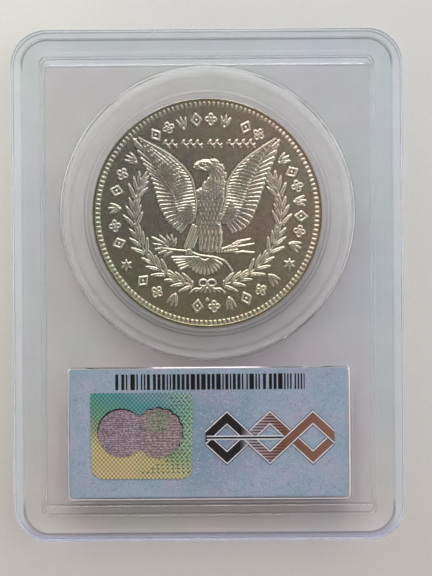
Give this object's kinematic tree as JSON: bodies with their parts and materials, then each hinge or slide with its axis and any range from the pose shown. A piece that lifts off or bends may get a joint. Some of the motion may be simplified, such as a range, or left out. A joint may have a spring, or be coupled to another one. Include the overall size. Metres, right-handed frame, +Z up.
{
  "type": "graded coin slab",
  "caption": "Sealed clear plastic holder, rear side up, with a large silver coin held in a round gasket above a pale blue card with a sticker and a foil ornament.",
  "frame": {"origin": "middle of the front rim's resting plane, under the centre of the holder's outline", "axes": "+Z points up out of the rear face, +Y runs along the length from the card to the coin, +X across the width"},
  "size_m": [0.0648, 0.0846, 0.008],
  "materials": {
    "clear_front": "clear polished polystyrene",
    "clear_rear": "clear polished polystyrene",
    "clear_gasket": "soft clear, slightly milky",
    "silver": "struck silver, bright fields with a soft lustre",
    "card": "matt card printed pale steel blue with a fine speckle",
    "hologram": "green to yellow diffraction film",
    "hologram_dark": "mauve diffraction film",
    "foil": "mirror foil stamping"
  },
  "bodies": {
    "holder": {"front_shell": "clear_front", "rear_shell": "clear_rear", "coin_gasket": "clear_gasket", "label_card": "card", "hologram_sticker": "hologram", "hologram_emblem": "hologram_dark", "foil_ornament": "foil"},
    "coin": {"coin": "silver"}
  },
  "joints": [
    {"name": "coin_turn", "type": "hinge", "parent": "holder", "child": "coin", "pos_m": [0, 0.01185, 0.00425], "axis": [0, 0, 1], "continuous": true}
  ]
}
